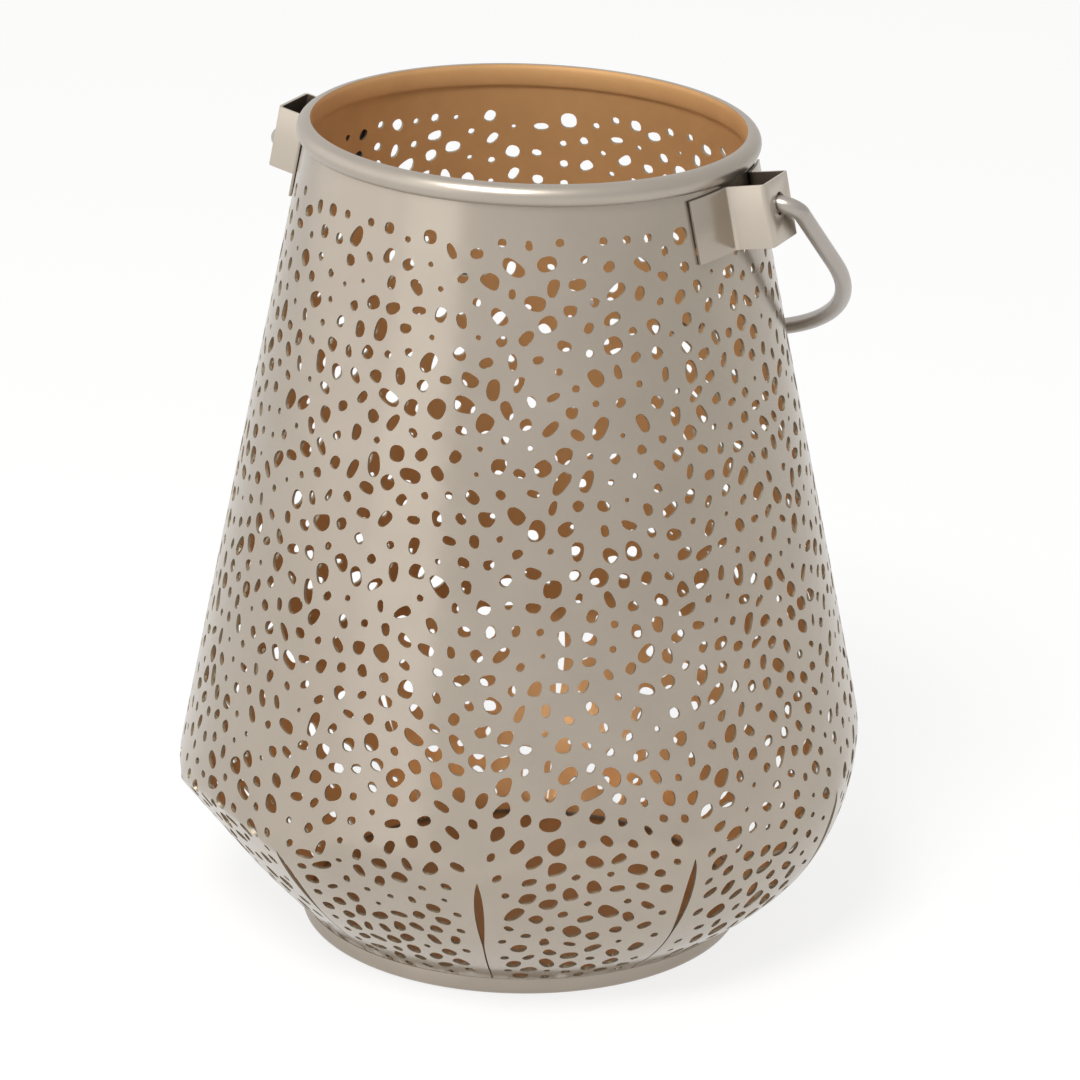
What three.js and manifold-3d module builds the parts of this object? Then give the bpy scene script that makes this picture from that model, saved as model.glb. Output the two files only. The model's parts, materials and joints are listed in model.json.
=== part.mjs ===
// Candle holder of punched sheet metal: a cone that folds in to a gored bowl, with a beaded rim,
// a pressed base pan and a wire bail that swings in two strap brackets.
// Millimetres, +Z up. The origin is the middle of the underside, and +X runs along the bail's hinge.

import * as THREE from 'three';
import { mergeVertices } from 'three/addons/utils/BufferGeometryUtils.js';
import Module from 'manifold-3d';

const wasm = await Module();
wasm.setup();

// Body sheet, measured on its outside
const BODY_HEIGHT = 197;        // underside of the holder to the sheet's top edge
const TOP_RADIUS = 52;          // of the cone at its top edge
const SHOULDER_RADIUS = 83;     // where the cone meets the bowl, at a dart
const SHOULDER_HEIGHT = 42;     // height of the same place
const BOWL_ARC = 73;            // radius of the bowl's curve from shoulder to base
const SHEET = 0.7;              // thickness of the body sheet
const CLEARANCE = 0.3;          // between pieces that seat in each other

// Gores: the panels of the bowl, with a dart between each two
const GORES = 10;
const GORE_FLATNESS = 0.6;      // 0 is a round bowl, 1 a bowl of flat-sided panels
const DART_WIDTH = 2.2;         // of the open slit at its widest
const DART_OPEN = 0.5;          // share of the gore's length that the slit is open for
const DART_BLADE = 0.5;         // below 1 the slit is widest nearer to its upper tip
const SEAM_GAP = 0.5;           // between two gores below the slit

// Punched holes
const HOLE_PITCH = 15.4;        // from hole to hole
const WEB = 2.6;                // least sheet between two holes
const SCATTER = 0.06;           // shift of a hole off its row, as a share of the pitch
const STAGGER = 0.35;           // part of a hole by which the count differs from row to row
const PEBBLE_STRETCH = 1.3;     // of the longest holes, length over width
const PEBBLE_SKEW = 0.15;       // unevenness of a hole's corners, as a share of a side
const TOP_BAND = 12;            // plain sheet below the top edge
const EDGE_BAND = 3.5;          // plain sheet along a fold, a dart or the base
const PATTERN_SEED = 7;

// Rim bead
const BEAD_RADIUS = 2.7;

// Base pan
const PAN_RADIUS = 54;
const LIP_HEIGHT = 4.4;
const PAN_SHEET = 0.8;
const PAN_CORNER = 1.8;         // outside radius between floor and lip

// Brackets
const STRAP_HEIGHT = 15;        // width of the strap, along the cone
const STRAP_SHEET = 0.7;
const STRAP_BEND = 2.4;         // outside radius of the box's two bends
const BOX_DEPTH = 10;           // from the body to the outer face
const BOX_WIDTH = 14.5;
const FLANGE = 13.5;            // welded foot on each side of the box

// Bail
const WIRE = 4;                 // diameter
const HOLE_PLAY = 1.4;          // bracket hole less wire, in diameter
const BAIL_SIDE_GAP = 2;        // from the bracket's outer face to the wire
const BAIL_ARM = 32;            // straight length of an arm, from the hinge line
const BAIL_CORNER = 55;         // radius of the bail's corners, at the wire's middle
const ELBOW = 3.2;              // radius of the hook's bend, at the wire's middle
const HOOK = 5;                 // length of wire inside the bracket's face

// Facets
const SIDES_PER_GORE = 5;       // of every ring, so that the rings line up
const RING_SIDES = GORES * SIDES_PER_GORE;
const WIRE_SIDES = 12;

// Cone and bowl as profiles, radius against height
const coneSlope = (SHOULDER_RADIUS - TOP_RADIUS) / (BODY_HEIGHT - SHOULDER_HEIGHT);
const coneAngle = Math.atan(coneSlope);
const skirtRadius = PAN_RADIUS - PAN_CORNER;
const skirtTop = LIP_HEIGHT;
const skirtBottom = PAN_SHEET + CLEARANCE;
const halfGore = Math.PI / GORES;

const coneRadius = (z) => TOP_RADIUS + (BODY_HEIGHT - z) * coneSlope;

// The bowl is an arc through the shoulder and the top of the skirt that stands in the pan
const bowlCentre = arcCentre(SHOULDER_RADIUS, SHOULDER_HEIGHT, skirtRadius, skirtTop, BOWL_ARC);
const bowlRadius = (z) => bowlCentre.r + Math.sqrt(Math.max(0, BOWL_ARC ** 2 - (z - bowlCentre.z) ** 2));

function arcCentre(r1, z1, r2, z2, radius) {
  const half = Math.hypot(r2 - r1, z2 - z1) / 2;
  const offset = Math.sqrt(Math.max(0, radius ** 2 - half ** 2)) / (2 * half);
  return { r: (r1 + r2) / 2 - (z1 - z2) * offset, z: (z1 + z2) / 2 + (r1 - r2) * offset };
}

// A gore is drawn in towards a flat panel between its darts, and is round again at the base
function goreRadius(phi, z) {
  const fade = THREE.MathUtils.clamp((z - skirtTop) / (SHOULDER_HEIGHT - skirtTop), 0, 1);
  const flat = Math.cos(halfGore) / Math.cos(phi);
  return bowlRadius(z) * (1 - GORE_FLATNESS * fade * (1 - flat));
}

// Height of the fold: where the gore leaves the cone, highest at the middle of the gore
function foldHeight(phi) {
  let low = SHOULDER_HEIGHT;
  let high = SHOULDER_HEIGHT + bowlCentre.r + BOWL_ARC;
  for (let i = 0; i < 40; i++) {
    const middle = (low + high) / 2;
    if (goreRadius(phi, middle) < coneRadius(middle)) low = middle;
    else high = middle;
  }
  return low;
}

// The body sheet's flat pattern, one gore wide: x across the gore, y down from the top edge
const coneLength = (BODY_HEIGHT - foldHeight(0)) / Math.cos(coneAngle);
const bowlLength = Math.hypot(goreRadius(0, foldHeight(0)) - skirtRadius, foldHeight(0) - skirtTop);
const skirtLength = skirtTop - skirtBottom;
const foldY = coneLength;
const skirtY = foldY + bowlLength;
const sheetY = skirtY + skirtLength;

// Radius and height of the sheet's outside at angle phi from the gore's middle, y down the pattern
function profileAt(phi, y) {
  const fold = foldHeight(phi);
  if (y <= foldY) {
    const z = THREE.MathUtils.lerp(BODY_HEIGHT, fold, y / coneLength);
    return { r: coneRadius(z), z };
  }
  if (y <= skirtY) {
    const z = THREE.MathUtils.lerp(fold, skirtTop, (y - foldY) / bowlLength);
    return { r: goreRadius(phi, z), z };
  }
  return { r: skirtRadius, z: THREE.MathUtils.lerp(skirtTop, skirtBottom, (y - skirtY) / skirtLength) };
}

const acrossAt = (y) => profileAt(0, y).r;

function sheetPoint(phi, y) {
  const { r, z } = profileAt(phi, y);
  return new THREE.Vector3(r * Math.cos(phi), r * Math.sin(phi), z);
}

function sheetNormal(phi, y) {
  const step = 1e-3;
  const across = sheetPoint(phi + step, y).sub(sheetPoint(phi - step, y));
  const y1 = Math.max(0, y - step);
  const y2 = Math.min(sheetY, y + step);
  const down = sheetPoint(phi, y2).sub(sheetPoint(phi, y1));
  return down.cross(across).normalize();
}

// Half the dart's opening: a blade-shaped slit below the fold, then a closed seam to the base
function dartHalfWidth(y) {
  const t = (y - foldY) / bowlLength;
  if (t <= 0) return 0;
  const blade = t < DART_OPEN ? DART_WIDTH * Math.sin(Math.PI * (t / DART_OPEN) ** DART_BLADE) : 0;
  return Math.max(SEAM_GAP * Math.min(1, t * 8), blade) / 2;
}

// Repeatable random numbers from 0 to 1
let randomState = PATTERN_SEED;
function random() {
  randomState = (Math.imul(randomState, 1664525) + 1013904223) >>> 0;
  return randomState / 2 ** 32;
}
const between = (low, high) => low + (high - low) * random();

// Middles of the holes between two lines across the gore: staggered rows, a little uneven
function holeMiddles(yStart, yEnd) {
  const middles = [];
  const rows = Math.max(1, Math.round((yEnd - yStart) / (HOLE_PITCH * Math.cos(Math.PI / 6))));
  const rowStep = (yEnd - yStart) / rows;
  const shift = HOLE_PITCH * SCATTER;
  for (let row = 0; row < rows; row++) {
    const y = yStart + (row + 0.5) * rowStep;
    const width = 2 * patchReach(y);
    const count = Math.max(1, Math.round(width / HOLE_PITCH + (row % 2 ? STAGGER : -STAGGER)));
    for (let i = 0; i < count; i++) {
      const x = ((i + 0.5) / count - 0.5) * width;
      middles.push({ x: x + between(-shift, shift), y: y + between(-shift, shift) });
    }
  }
  return middles;
}

// Half the width that holes may take at y: right to the side on the cone, and a band in on the bowl
const patchReach = (y) => halfGore * acrossAt(y) - (y > foldY ? EDGE_BAND - WEB / 2 : 0);

// Room round a hole: half way to the next one, and out to the sides and ends of its patch
function roomAround(hole, middles, yStart, yEnd) {
  const ends = Math.min(hole.y - yStart, yEnd - hole.y) + WEB / 2;
  const side = patchReach(hole.y) - Math.abs(hole.x);
  const others = middles.filter((other) => other !== hole);
  const halfways = others.map((other) => Math.hypot(other.x - hole.x, other.y - hole.y) / 2);
  return Math.min(ends, side, ...halfways) - WEB / 2;
}

// One pebble-shaped hole, as a ring of corners
function pebble({ x, y }, room) {
  const corners = random() < 0.5 ? 5 : 6;
  const long = room * between(0.92, 1);
  const short = long / between(1, PEBBLE_STRETCH);
  const turn = between(0, Math.PI);
  const ring = [];
  for (let i = 0; i < corners; i++) {
    const angle = (i + between(-PEBBLE_SKEW, PEBBLE_SKEW)) * 2 * Math.PI / corners;
    const a = long * Math.cos(angle);
    const b = short * Math.sin(angle);
    ring.push({ x: x + a * Math.cos(turn) - b * Math.sin(turn), y: y + a * Math.sin(turn) + b * Math.cos(turn) });
  }
  return ring;
}

// All the holes between two lines across the gore
function pebbles(yStart, yEnd) {
  const middles = holeMiddles(yStart, yEnd);
  return middles.map((hole) => pebble(hole, roomAround(hole, middles, yStart, yEnd)));
}

// Corner points of one gore's pattern. Every point knows its ring, a hole or a side edge.
function goreCorners() {
  const corners = [];
  const add = (x, y, ring) => corners.push({ x, y, ring });
  const sideSteps = Math.round(coneLength / HOLE_PITCH);
  const slitSteps = [0.12, 0.3, 0.56, 0.8, 1].map((share) => share * DART_OPEN);
  const dartSteps = [...slitSteps, (1 + DART_OPEN) / 2, 1];
  const sideYs = [];
  for (let i = 0; i <= sideSteps; i++) sideYs.push(foldY * i / sideSteps);
  for (const t of dartSteps) sideYs.push(foldY + bowlLength * t);
  sideYs.push(sheetY);
  for (const y of sideYs) {
    const reach = halfGore * acrossAt(y) - dartHalfWidth(y);
    add(-reach, y, 'left');
    add(reach, y, 'right');
  }
  for (const y of [0, foldY, skirtY, sheetY]) {
    const steps = y === foldY ? SIDES_PER_GORE + 3 : SIDES_PER_GORE;
    const reach = halfGore * acrossAt(y) - dartHalfWidth(y);
    for (let i = 1; i < steps; i++) add(reach * (2 * i / steps - 1), y, `line ${y}`);
  }
  const holes = [
    ...pebbles(TOP_BAND, foldY - EDGE_BAND),
    ...pebbles(foldY + EDGE_BAND, skirtY - EDGE_BAND),
  ];
  holes.forEach((hole, index) => hole.forEach((p) => add(p.x, p.y, `hole ${index}`)));
  return corners;
}

// Delaunay triangulation, by adding one point at a time
function delaunay(points) {
  const far = 1e5;
  const all = [...points, { x: -far, y: -far }, { x: far, y: -far }, { x: 0, y: far }];
  const n = points.length;
  let triangles = [circled([n, n + 1, n + 2], all)];
  for (let p = 0; p < n; p++) {
    const { x, y } = all[p];
    const hit = triangles.filter((t) => (x - t.x) ** 2 + (y - t.y) ** 2 < t.rr);
    const edges = new Map();
    for (const { corners: [a, b, c] } of hit) {
      for (const [i, j] of [[a, b], [b, c], [c, a]]) {
        if (!edges.delete(`${j} ${i}`)) edges.set(`${i} ${j}`, [i, j]);
      }
    }
    triangles = triangles.filter((t) => !hit.includes(t));
    for (const [i, j] of edges.values()) triangles.push(circled([i, j, p], all));
  }
  return triangles.map((t) => t.corners).filter((t) => t.every((i) => i < n));
}

// A triangle with the circle through its corners
function circled(corners, points) {
  const [a, b, c] = corners.map((i) => points[i]);
  const d = 2 * ((b.x - a.x) * (c.y - a.y) - (b.y - a.y) * (c.x - a.x));
  const bb = (b.x - a.x) ** 2 + (b.y - a.y) ** 2;
  const cc = (c.x - a.x) ** 2 + (c.y - a.y) ** 2;
  const ux = ((c.y - a.y) * bb - (b.y - a.y) * cc) / d;
  const uy = ((b.x - a.x) * cc - (c.x - a.x) * bb) / d;
  return { corners, x: a.x + ux, y: a.y + uy, rr: ux ** 2 + uy ** 2 };
}

// The punched sheet: one gore's pattern, rolled up and repeated round the axis, with its thickness
function bodyShell() {
  const corners = goreCorners();
  const cells = delaunay(corners).filter(([a, b, c]) => {
    const [p, q, r] = [corners[a].ring, corners[b].ring, corners[c].ring];
    const lines = p.startsWith('line');
    return lines || p !== q || q !== r;
  });
  const outside = [];
  const inside = [];
  const index = new Map();
  const triangles = [];
  for (let gore = 0; gore < GORES; gore++) {
    const turn = (2 * gore + 1) * halfGore;
    const ids = corners.map(({ x, y }) => {
      const phi = x / acrossAt(y);
      const point = sheetPoint(phi, y);
      const inner = point.clone().addScaledVector(sheetNormal(phi, y), -SHEET);
      const up = new THREE.Vector3(0, 0, 1);
      point.applyAxisAngle(up, turn);
      inner.applyAxisAngle(up, turn);
      const key = point.toArray().map((v) => Math.round(v * 100)).join(' ');
      if (!index.has(key)) {
        index.set(key, outside.length);
        outside.push(point);
        inside.push(inner);
      }
      return index.get(key);
    });
    for (const [a, b, c] of cells) triangles.push([ids[a], ids[c], ids[b]]);
  }
  return thickSheet(outside, inside, triangles);
}

// Closes two skins of the same triangles with walls along every free edge
function thickSheet(outside, inside, triangles) {
  const n = outside.length;
  const free = new Map();
  for (const [a, b, c] of triangles) {
    for (const [i, j] of [[a, b], [b, c], [c, a]]) {
      if (!free.delete(`${j} ${i}`)) free.set(`${i} ${j}`, [i, j]);
    }
  }
  const faces = [];
  for (const [a, b, c] of triangles) faces.push(a, b, c, c + n, b + n, a + n);
  for (const [i, j] of free.values()) faces.push(j, i, i + n, j, i + n, j + n);
  return meshGeometry([...outside, ...inside], faces);
}

function meshGeometry(points, faces) {
  const geometry = new THREE.BufferGeometry().setFromPoints(points);
  geometry.setIndex(faces);
  geometry.computeVertexNormals();
  return geometry;
}

// A closed profile, radius against height, turned about the axis
function revolve(profile) {
  const geometry = new THREE.LatheGeometry(profile, RING_SIDES);
  geometry.rotateX(Math.PI / 2);
  geometry.rotateZ(Math.PI / 2);
  return welded(geometry);
}

function welded(geometry) {
  geometry.deleteAttribute('normal');
  geometry.deleteAttribute('uv');
  const merged = mergeVertices(geometry, 1e-4);
  const { index } = merged;
  const kept = [];
  for (let i = 0; i < index.count; i += 3) {
    const [a, b, c] = [index.getX(i), index.getX(i + 1), index.getX(i + 2)];
    if (a !== b && b !== c && c !== a) kept.push(a, b, c);
  }
  merged.setIndex(kept);
  merged.computeVertexNormals();
  return merged;
}

// The bead: a round ring with a slot below, pushed over the sheet's top edge and leaning with the cone
function rimBead() {
  const outward = new THREE.Vector2(Math.cos(coneAngle), Math.sin(coneAngle));
  const upward = new THREE.Vector2(-Math.sin(coneAngle), Math.cos(coneAngle));
  const centre = new THREE.Vector2(TOP_RADIUS, BODY_HEIGHT).addScaledVector(outward, -SHEET / 2);
  const place = (x, y) => centre.clone().addScaledVector(outward, x).addScaledVector(upward, y);
  const slot = SHEET / 2 + CLEARANCE;
  const opening = Math.asin(slot / BEAD_RADIUS);
  const start = -Math.PI / 2 + opening;
  const sweep = 2 * (Math.PI - opening);
  const steps = 8;
  const profile = [place(slot, CLEARANCE)];
  for (let i = 0; i <= steps; i++) {
    const angle = start + sweep * i / steps;
    profile.push(place(BEAD_RADIUS * Math.cos(angle), BEAD_RADIUS * Math.sin(angle)));
  }
  profile.push(place(-slot, CLEARANCE), profile[0].clone());
  return revolve(profile);
}

// The base pan: a flat floor with a rounded corner and an upright lip. A ring of edges on the floor
// bounds the candle's seat, just inside the body's skirt.
function basePan() {
  const steps = 3;
  const seatRadius = skirtRadius - SHEET - CLEARANCE;
  const corner = (radius) => Array.from({ length: steps + 1 }, (_, i) => {
    const angle = -Math.PI / 2 * (1 - i / steps);
    return new THREE.Vector2(
      PAN_RADIUS - PAN_CORNER + radius * Math.cos(angle),
      PAN_CORNER + radius * Math.sin(angle),
    );
  });
  return revolve([
    new THREE.Vector2(0, 0),
    ...corner(PAN_CORNER),
    new THREE.Vector2(PAN_RADIUS, LIP_HEIGHT),
    new THREE.Vector2(PAN_RADIUS - PAN_SHEET, LIP_HEIGHT),
    ...corner(PAN_CORNER - PAN_SHEET).reverse(),
    new THREE.Vector2(seatRadius, PAN_SHEET),
    new THREE.Vector2(0, PAN_SHEET),
  ]);
}

// Where the brackets sit: the middle of the strap on the cone, and the hinge hole in the outer face
const strapY = BEAD_RADIUS + 2 * CLEARANCE + STRAP_HEIGHT / 2;
const strapZ = BODY_HEIGHT - strapY * Math.cos(coneAngle);
const strapRadius = coneRadius(strapZ);
const hingeReach = BOX_DEPTH - STRAP_SHEET / 2;
const hingeZ = strapZ + hingeReach * Math.sin(coneAngle);
const hingeX = strapRadius + hingeReach * Math.cos(coneAngle);

// Hat-shaped strap in its own frame: +X out of the cone, +Y round it, +Z up along it
function bracket() {
  const curve = strapRadius / Math.cos(coneAngle);
  const inner = curve + CLEARANCE;
  const outer = inner + STRAP_SHEET;
  const boxHalf = BOX_WIDTH / 2;
  const innerHalf = boxHalf - STRAP_SHEET;
  const end = Math.asin((boxHalf + FLANGE) / inner);
  const bendX = BOX_DEPTH - STRAP_BEND;
  const bendY = boxHalf - STRAP_BEND;
  const innerBend = STRAP_BEND - STRAP_SHEET;
  const shape = new THREE.Shape();
  shape.absarc(-curve, 0, outer, -end, -Math.asin(boxHalf / outer), false);
  shape.absarc(bendX, -bendY, STRAP_BEND, -Math.PI / 2, 0, false);
  shape.absarc(bendX, bendY, STRAP_BEND, 0, Math.PI / 2, false);
  shape.absarc(-curve, 0, outer, Math.asin(boxHalf / outer), end, false);
  shape.absarc(-curve, 0, inner, end, Math.asin(innerHalf / inner), true);
  shape.absarc(bendX, bendY, innerBend, Math.PI / 2, 0, true);
  shape.absarc(bendX, -bendY, innerBend, 0, -Math.PI / 2, true);
  shape.absarc(-curve, 0, inner, -Math.asin(innerHalf / inner), -end, true);
  const strap = new THREE.ExtrudeGeometry(shape, {
    depth: STRAP_HEIGHT,
    bevelEnabled: false,
    curveSegments: 3,
  });
  strap.translate(0, 0, -STRAP_HEIGHT / 2);
  const drill = new THREE.CylinderGeometry((WIRE + HOLE_PLAY) / 2, (WIRE + HOLE_PLAY) / 2, BOX_DEPTH, 16);
  drill.rotateZ(Math.PI / 2);
  drill.rotateY(coneAngle);
  drill.translate(hingeReach, 0, 0);
  return geometryOf(solidOf(strap).subtract(solidOf(drill)));
}

function solidOf(geometry) {
  const merged = welded(geometry);
  return new wasm.Manifold(new wasm.Mesh({
    numProp: 3,
    vertProperties: new Float32Array(merged.attributes.position.array),
    triVerts: new Uint32Array(merged.index.array),
  }));
}

function geometryOf(solid) {
  const { vertProperties, triVerts } = solid.getMesh();
  const geometry = new THREE.BufferGeometry();
  geometry.setAttribute('position', new THREE.BufferAttribute(vertProperties, 3));
  geometry.setIndex(new THREE.BufferAttribute(triVerts, 1));
  geometry.computeVertexNormals();
  return geometry;
}

// The bail in its own plane: u along the hinge, w away from it
const faceX = hingeX + STRAP_SHEET / 2 / Math.cos(coneAngle);
const armX = faceX + BAIL_SIDE_GAP + WIRE / 2;
const bailReach = BAIL_ARM + BAIL_CORNER;

function bailPath() {
  const half = [{ u: faceX - STRAP_SHEET - HOOK, w: 0, angle: 0 }];
  const turn = (u, w, radius, from, steps) => {
    for (let i = 0; i <= steps; i++) {
      const angle = from + Math.PI / 2 * i / steps;
      half.push({ u: u + radius * Math.sin(angle), w: w - radius * Math.cos(angle), angle });
    }
  };
  turn(armX - ELBOW, ELBOW, ELBOW, 0, 5);
  turn(armX - BAIL_CORNER, BAIL_ARM, BAIL_CORNER, Math.PI / 2, 8);
  const mirrored = half.map(({ u, w, angle }) => ({ u: -u, w, angle: -angle })).reverse();
  return [...half, ...mirrored.map((p) => ({ ...p, angle: p.angle + 2 * Math.PI }))];
}

// Round wire along a flat path. Each stop has a place and the angle of its direction.
function wireAlong(path) {
  const points = [];
  const faces = [];
  for (const { u, w, angle } of path) {
    for (let i = 0; i < WIRE_SIDES; i++) {
      const round = 2 * Math.PI * i / WIRE_SIDES;
      const side = WIRE / 2 * Math.cos(round);
      points.push(new THREE.Vector3(
        u - side * Math.sin(angle),
        w + side * Math.cos(angle),
        WIRE / 2 * Math.sin(round),
      ));
    }
  }
  for (let stop = 0; stop + 1 < path.length; stop++) {
    for (let i = 0; i < WIRE_SIDES; i++) {
      const a = stop * WIRE_SIDES + i;
      const b = stop * WIRE_SIDES + (i + 1) % WIRE_SIDES;
      faces.push(a, b, b + WIRE_SIDES, a, b + WIRE_SIDES, a + WIRE_SIDES);
    }
  }
  const last = (path.length - 1) * WIRE_SIDES;
  for (let i = 1; i + 1 < WIRE_SIDES; i++) {
    faces.push(0, i + 1, i, last, last + i, last + i + 1);
  }
  return meshGeometry(points, faces);
}

// Angle below level at which the bail's bar comes to rest against the cone
const barToCone = coneRadius(hingeZ) * Math.cos(coneAngle) + WIRE / 2 + CLEARANCE;
const restAngle = Math.acos(barToCone / bailReach) - coneAngle;

const nickel = { color: 0xbeb4a8, roughness: 0.38, metalness: 1 };
const finishes = {
  body_shell: { ...nickel },
  rim_bead: { ...nickel, roughness: 0.32 },
  base_pan: { ...nickel, roughness: 0.42 },
  bracket: { ...nickel, color: 0xc4bcb0 },
  bail_handle: { ...nickel, color: 0xb8b0a6 },
};

function piece(name, geometry, finish) {
  const mesh = new THREE.Mesh(geometry, new THREE.MeshStandardMaterial(finish));
  mesh.name = name;
  return mesh;
}

const holder = new THREE.Group();
holder.add(piece('body_shell', bodyShell(), finishes.body_shell));
holder.add(piece('rim_bead', rimBead(), finishes.rim_bead));
holder.add(piece('base_pan', basePan(), finishes.base_pan));

for (const [side, turn] of [['right', 0], ['left', Math.PI]]) {
  const seat = new THREE.Group();
  seat.rotation.z = turn;
  const strap = piece(`bracket_${side}`, bracket(), finishes.bracket);
  strap.position.set(strapRadius, 0, strapZ);
  strap.rotation.y = -coneAngle;
  seat.add(strap);
  holder.add(seat);
}

const bail = piece('bail_handle', wireAlong(bailPath()), finishes.bail_handle);
bail.position.z = hingeZ;
bail.rotation.x = -restAngle;
holder.add(bail);

export default holder;
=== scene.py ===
# %% [markdown]
# # A punched metal candle lantern
# The real lantern is one thin sheet, punched all over with pebble-shaped holes, rolled to a cone and
# folded in to a bowl of ten gores that stands in a shallow pan. A rolled bead stiffens the mouth, and a
# wire bail swings in two strap brackets. The outside is satin champagne nickel, the inside gold lacquer.
#
# The CAD model holds every piece at its real size and place. It is loaded first, so that the pieces here
# take their sizes from its frame and nothing has to be fitted afterwards.

# %% Load the CAD frame
import json
import math
import random
from collections import namedtuple

import bpy
from mathutils import Matrix, Quaternion, Vector, kdtree, noise
from mathutils.geometry import delaunay_2d_cdt


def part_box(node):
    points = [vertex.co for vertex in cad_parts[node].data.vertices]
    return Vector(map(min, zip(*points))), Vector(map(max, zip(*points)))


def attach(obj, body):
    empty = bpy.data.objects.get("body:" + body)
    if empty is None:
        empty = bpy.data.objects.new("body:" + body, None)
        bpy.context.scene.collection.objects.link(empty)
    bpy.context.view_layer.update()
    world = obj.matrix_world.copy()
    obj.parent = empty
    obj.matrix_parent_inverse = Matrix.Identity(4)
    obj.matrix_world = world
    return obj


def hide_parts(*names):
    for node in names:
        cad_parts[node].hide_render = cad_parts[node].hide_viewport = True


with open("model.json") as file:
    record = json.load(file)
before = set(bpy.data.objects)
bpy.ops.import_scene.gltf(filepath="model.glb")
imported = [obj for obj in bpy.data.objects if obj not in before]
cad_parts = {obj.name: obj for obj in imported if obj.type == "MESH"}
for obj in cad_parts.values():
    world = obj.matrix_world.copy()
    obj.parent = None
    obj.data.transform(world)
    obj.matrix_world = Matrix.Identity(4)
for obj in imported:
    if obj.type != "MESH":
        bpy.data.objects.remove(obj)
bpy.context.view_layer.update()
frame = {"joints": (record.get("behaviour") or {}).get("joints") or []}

MM = 0.001
body_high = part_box("body_shell")[1] / MM
pan_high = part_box("base_pan")[1] / MM
hinge_z = frame["joints"][0]["pos_m"][2] / MM
swing_from, swing_to = frame["joints"][0]["range_deg"]

# %% [markdown]
# ## Camera
# The lantern was photographed with a long lens from a little above, with the bail's hinge at 25 degrees to
# the picture. A long lens far away keeps the cone's sides straight and the mouth a clean ellipse. The shift
# frames the lantern as the photograph does, without turning the camera off its axis.

# %% Camera at the photograph's angle
CAMERA_AZIMUTH = 25.0   # degrees round from the -Y side
CAMERA_ELEVATION = 20.4
CAMERA_ROLL = 0.6       # degrees about the line of sight
CAMERA_DISTANCE = 1184  # mm, from the middle of the body
CAMERA_TARGET_HEIGHT = 98.7  # mm up the body's axis
CAMERA_LENS = 164.1     # mm, for a sensor 36 mm wide
CAMERA_SHIFT = (0.0139, -0.0122)


def direction(azimuth, elevation):
    """Unit vector from the object towards a place round and above it, in degrees."""
    a, e = math.radians(azimuth), math.radians(elevation)
    return Vector((math.sin(a) * math.cos(e), -math.cos(a) * math.cos(e), math.sin(e)))


target = Vector((0, 0, CAMERA_TARGET_HEIGHT * MM))
camera_back = direction(CAMERA_AZIMUTH, CAMERA_ELEVATION)
roll = Quaternion((0, 0, 1), math.radians(CAMERA_ROLL))
bpy.ops.object.camera_add(location=target + camera_back * CAMERA_DISTANCE * MM)
camera = bpy.context.object
camera.rotation_mode = "QUATERNION"
camera.rotation_quaternion = (-camera_back).to_track_quat("-Z", "Y") @ roll
camera.data.lens = CAMERA_LENS
camera.data.shift_x, camera.data.shift_y = CAMERA_SHIFT
bpy.context.scene.camera = camera
print("camera at", [round(x, 3) for x in camera.location])

# %% [markdown]
# ## Node helper and colours
# Colours are written as sRGB hex, as a paint chart gives them, and turned to the linear numbers that
# shaders work in. One small function adds a node, sets it and links it, so that each material reads as a
# list of what its surface is made of.

# %% Colour and node helpers
def linear(hex_colour):
    """An sRGB hex colour, such as "B0A699", as linear red, green, blue and an alpha of 1."""
    channels = [int(hex_colour[i:i + 2], 16) / 255 for i in (0, 2, 4)]
    return [c / 12.92 if c <= 0.04045 else ((c + 0.055) / 1.055) ** 2.4 for c in channels] + [1.0]


def add_node(tree, kind, inputs=None, **options):
    """Adds a node. Options set its fields, and inputs are values or output sockets to link from."""
    node = tree.nodes.new(kind)
    for name, value in options.items():
        setattr(node, name, value)
    for name, value in (inputs or {}).items():
        if isinstance(value, bpy.types.NodeSocket):
            tree.links.new(value, node.inputs[name])
        else:
            node.inputs[name].default_value = value
    return node


def new_tree(name):
    """A material with an empty node tree."""
    material = bpy.data.materials.new(name)
    material.use_nodes = True
    material.node_tree.nodes.clear()
    return material, material.node_tree


print("nickel, linear:", [round(c, 3) for c in linear("B0A699")])

# %% [markdown]
# ## Studio
# The photograph is a cut-out on white, with soft light from the front left and from above. The floor and
# the world are pale and plain, and seen directly they are white. The metal sees the room grow dimmer
# towards the right, as a studio does away from its lamps. A strip and a wall of soft light give the left
# half of the cone its sheen, and a lamp above the camera's left shoulder reaches the gold inside.

# %% World, floor and lights
WORLD_FILL = 0.6        # light from all round on surfaces, against 1 for what the eye sees
ROOM_DIM = 0.28         # how much dimmer the metal sees the room on the right than on the left
DIM_SIDE = CAMERA_AZIMUTH + 105  # degrees round to where it is dimmest
FLOOR_SIZE = 6.0        # metres
FLOOR_DROP = 0.2        # mm below the pan, so that the two never share a plane
FLOOR_WHITE_SHARE = 0.8  # share of plain white in the floor as the eye sees it


def white_rays(tree):
    """1 where the camera, a reflection or a clear surface looks at this shader, else 0."""
    path = add_node(tree, "ShaderNodeLightPath")
    seen = path.outputs["Is Camera Ray"]
    for ray in ("Is Glossy Ray", "Is Transmission Ray"):
        either = add_node(tree, "ShaderNodeMath", {0: seen, 1: path.outputs[ray]}, operation="MAXIMUM")
        seen = either.outputs[0]
    return seen


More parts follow.
